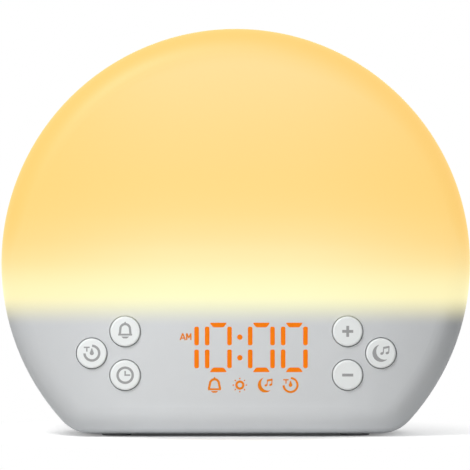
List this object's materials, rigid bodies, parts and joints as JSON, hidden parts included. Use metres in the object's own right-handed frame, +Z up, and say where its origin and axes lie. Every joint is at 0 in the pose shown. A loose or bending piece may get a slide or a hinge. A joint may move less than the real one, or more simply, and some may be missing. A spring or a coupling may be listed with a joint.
{
  "type": "sunrise alarm clock",
  "caption": "Round bedside light with a flat base, a clock display behind its face and round push buttons on either side of it.",
  "frame": {"origin": "centre of the bounding box at the bottom: on the table under the middle of the housing, in the plane of the feet's undersides", "axes": "+Z up, -Y out of the face that shows the time, +X to the right as the face is read"},
  "size_m": [0.188, 0.072, 0.1633],
  "materials": {
    "diffuser_shell": "satin moulded diffuser, glows over the light chamber",
    "cover_plastic": "satin moulded",
    "button_white": "satin moulded, printed symbols",
    "inner_white": "matt white, reflective",
    "board_green": "solder mask",
    "board_white": "white solder mask",
    "display_block": "opaque moulded",
    "light_guide": "clear light guide lit amber",
    "lamp_lens": "phosphor lens",
    "chip_black": "moulded epoxy",
    "capacitor_can": "sleeved can",
    "header_nylon": "moulded nylon",
    "lead_red": "insulated lead",
    "switch_black": "moulded",
    "plunger_grey": "moulded",
    "stamped_steel": "zinc plated pressing",
    "speaker_paper": "pressed paper",
    "ferrite": "ground ferrite",
    "foam_black": "closed-cell foam",
    "inlet_black": "moulded",
    "contact_metal": "plated",
    "cell_steel": "bright steel can",
    "screw_steel": "zinc plated",
    "foot_rubber": "soft matt"
  },
  "bodies": {
    "housing": {"alarm_switch": "switch_black", "amplifier_chip": "chip_black", "battery_door": "cover_plastic", "battery_door_screw": "screw_steel", "board_screws": "screw_steel", "cell_contacts": "contact_metal", "clock_switch": "switch_black", "coin_cell": "cell_steel", "controller_chip": "chip_black", "display_housing": "display_block", "display_segments": "light_guide", "filter_capacitors": "capacitor_can", "foot_front_left": "foot_rubber", "foot_front_right": "foot_rubber", "foot_rear_left": "foot_rubber", "foot_rear_right": "foot_rubber", "front_shell": "diffuser_shell", "housing_screws": "screw_steel", "inlet_board": "board_green", "inlet_board_screws": "screw_steel", "inlet_body": "inlet_black", "inlet_pin": "contact_metal", "led_board": "board_white", "led_board_screws": "screw_steel", "led_lead": "lead_red", "leds": "lamp_lens", "light_shelf": "inner_white", "main_board": "board_green", "minus_switch": "switch_black", "plus_switch": "switch_black", "power_lead": "lead_red", "rear_shell": "cover_plastic", "reflector": "inner_white", "reflector_screws": "screw_steel", "sleep_switch": "switch_black", "speaker_basket": "stamped_steel", "speaker_cone": "speaker_paper", "speaker_gasket": "foam_black", "speaker_lead": "lead_red", "speaker_magnet": "ferrite", "speaker_screws": "screw_steel", "timer_switch": "switch_black", "wire_headers": "header_nylon"},
    "alarm_button": {"alarm_cap": "button_white", "alarm_plunger": "plunger_grey"},
    "timer_button": {"timer_cap": "button_white", "timer_plunger": "plunger_grey"},
    "clock_button": {"clock_cap": "button_white", "clock_plunger": "plunger_grey"},
    "plus_button": {"plus_cap": "button_white", "plus_plunger": "plunger_grey"},
    "sleep_button": {"sleep_cap": "button_white", "sleep_plunger": "plunger_grey"},
    "minus_button": {"minus_cap": "button_white", "minus_plunger": "plunger_grey"}
  },
  "joints": [
    {"name": "alarm_press", "type": "slide", "parent": "housing", "child": "alarm_button", "axis": [0, 1, 0], "range_m": [0, 0.0005], "stiffness_N_per_m": 600, "springref_m": -0.0008},
    {"name": "timer_press", "type": "slide", "parent": "housing", "child": "timer_button", "axis": [0, 1, 0], "range_m": [0, 0.0005], "stiffness_N_per_m": 600, "springref_m": -0.0008},
    {"name": "clock_press", "type": "slide", "parent": "housing", "child": "clock_button", "axis": [0, 1, 0], "range_m": [0, 0.0005], "stiffness_N_per_m": 600, "springref_m": -0.0008},
    {"name": "plus_press", "type": "slide", "parent": "housing", "child": "plus_button", "axis": [0, 1, 0], "range_m": [0, 0.0005], "stiffness_N_per_m": 600, "springref_m": -0.0008},
    {"name": "sleep_press", "type": "slide", "parent": "housing", "child": "sleep_button", "axis": [0, 1, 0], "range_m": [0, 0.0005], "stiffness_N_per_m": 600, "springref_m": -0.0008},
    {"name": "minus_press", "type": "slide", "parent": "housing", "child": "minus_button", "axis": [0, 1, 0], "range_m": [0, 0.0005], "stiffness_N_per_m": 600, "springref_m": -0.0008}
  ]
}
